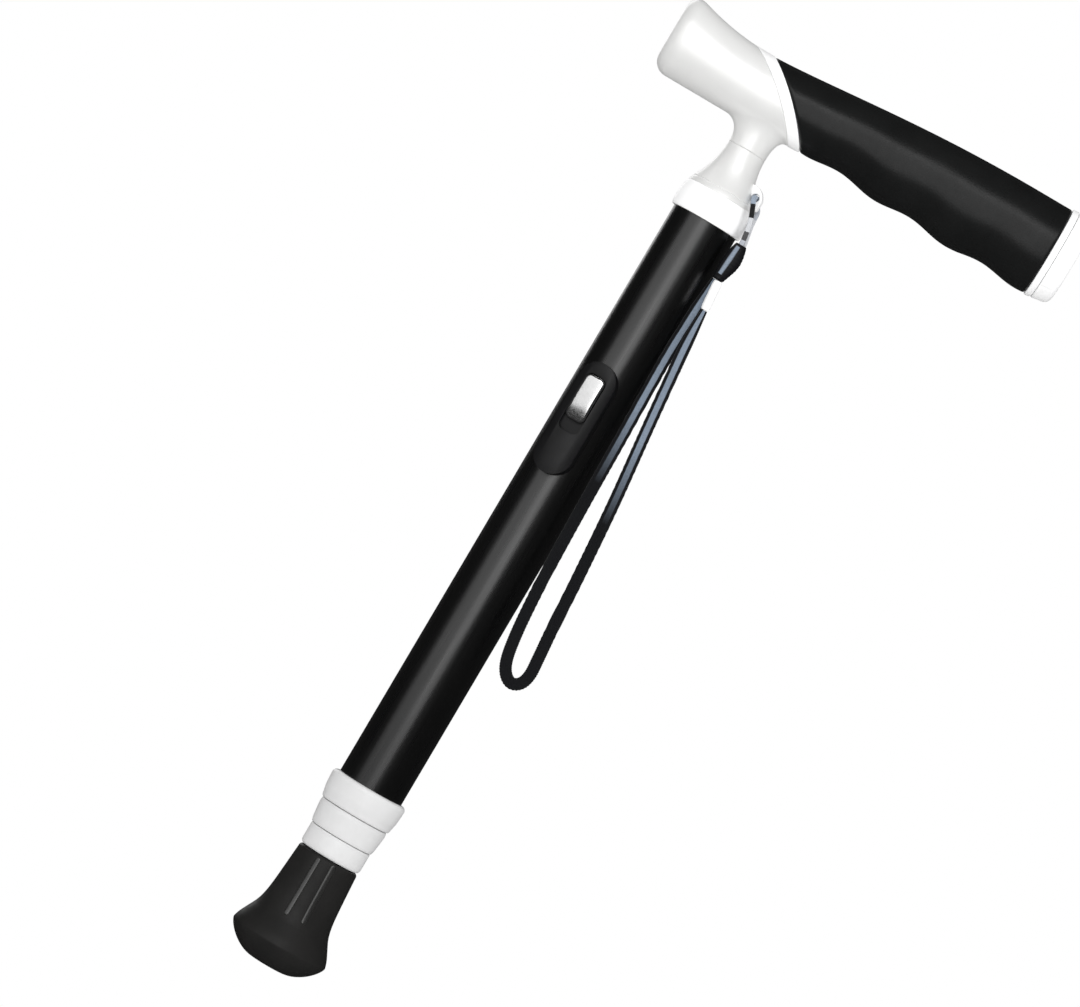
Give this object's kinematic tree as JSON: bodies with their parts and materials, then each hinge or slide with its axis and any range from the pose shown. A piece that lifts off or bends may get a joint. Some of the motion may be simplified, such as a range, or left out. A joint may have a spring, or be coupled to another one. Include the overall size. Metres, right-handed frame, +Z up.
{
  "type": "folding walking stick",
  "caption": "Closed telescopic walking stick: T-handle with rubber grip, pearl head and neck, black tubes with white collars, rubber tip and wrist strap.",
  "frame": {"origin": "centre of the rubber tip's ground face, on the shaft's axis, stick closed", "axes": "+Z up the shaft, +X along the grip away from the head, -Y the front with the release slider"},
  "size_m": [0.1573, 0.036, 0.3608],
  "materials": {
    "silver_plastic": "pearl, satin",
    "white_plastic": "satin",
    "black_tube": "black anodised, satin",
    "grip_rubber": "satin",
    "tip_rubber": "satin",
    "dark_plastic": "moulded",
    "nylon": "moulded",
    "steel": "zinc plated",
    "bright_metal": "polished",
    "brass": "turned",
    "webbing": "woven, with a grey-blue stripe",
    "cord": "braided"
  },
  "bodies": {
    "stick": {"handle_head": "silver_plastic", "trim_band": "white_plastic", "grip_sleeve": "grip_rubber", "end_ring": "white_plastic", "end_cap": "white_plastic", "cap_screw": "steel", "handle_core": "dark_plastic", "neck_flare": "silver_plastic", "neck_bolt": "steel", "top_plug": "dark_plastic", "upper_collar": "white_plastic", "outer_tube": "black_tube", "collar_1": "white_plastic", "slider_housing": "dark_plastic", "latch_leaf": "steel", "latch_rivet": "steel", "return_springs": "steel", "strap_lug": "white_plastic", "strap_leader": "cord", "strap_keeper": "webbing", "strap_bead": "white_plastic", "strap_loop": "webbing"},
    "slider": {"release_slider": "bright_metal"},
    "lock_2": {"expander_2": "nylon"},
    "shaft_2": {"tube_2": "black_tube", "plug_2": "dark_plastic", "stud_2": "brass", "collar_2": "white_plastic"},
    "lock_3": {"expander_3": "nylon"},
    "shaft_3": {"tube_3": "black_tube", "plug_3": "dark_plastic", "stud_3": "brass", "collar_3": "white_plastic"},
    "lock_4": {"expander_4": "nylon"},
    "shaft_4": {"tube_4": "black_tube", "plug_4": "dark_plastic", "stud_4": "brass", "tip_washer": "steel", "rubber_tip": "tip_rubber"}
  },
  "joints": [
    {"name": "slide_2", "type": "slide", "parent": "stick", "child": "lock_2", "axis": [0, 0, -1], "range_m": [0, 0.185], "deforming": ["latch_leaf"]},
    {"name": "twist_2", "type": "hinge", "parent": "lock_2", "child": "shaft_2", "pos_m": [0, 0, 0.27], "axis": [0, 0, 1], "range_deg": [0, 180]},
    {"name": "slide_3", "type": "slide", "parent": "shaft_2", "child": "lock_3", "axis": [0, 0, -1], "range_m": [0, 0.17]},
    {"name": "twist_3", "type": "hinge", "parent": "lock_3", "child": "shaft_3", "pos_m": [0, 0, 0.245], "axis": [0, 0, 1], "range_deg": [0, 180]},
    {"name": "slide_4", "type": "slide", "parent": "shaft_3", "child": "lock_4", "axis": [0, 0, -1], "range_m": [0, 0.155]},
    {"name": "twist_4", "type": "hinge", "parent": "lock_4", "child": "shaft_4", "pos_m": [0, 0, 0.22], "axis": [0, 0, 1], "range_deg": [0, 180]},
    {"name": "slider_press", "type": "slide", "parent": "stick", "child": "slider", "axis": [0, 0, -1], "range_m": [0, 0.004], "stiffness_N_per_m": 300, "deforming": ["return_springs"]}
  ]
}
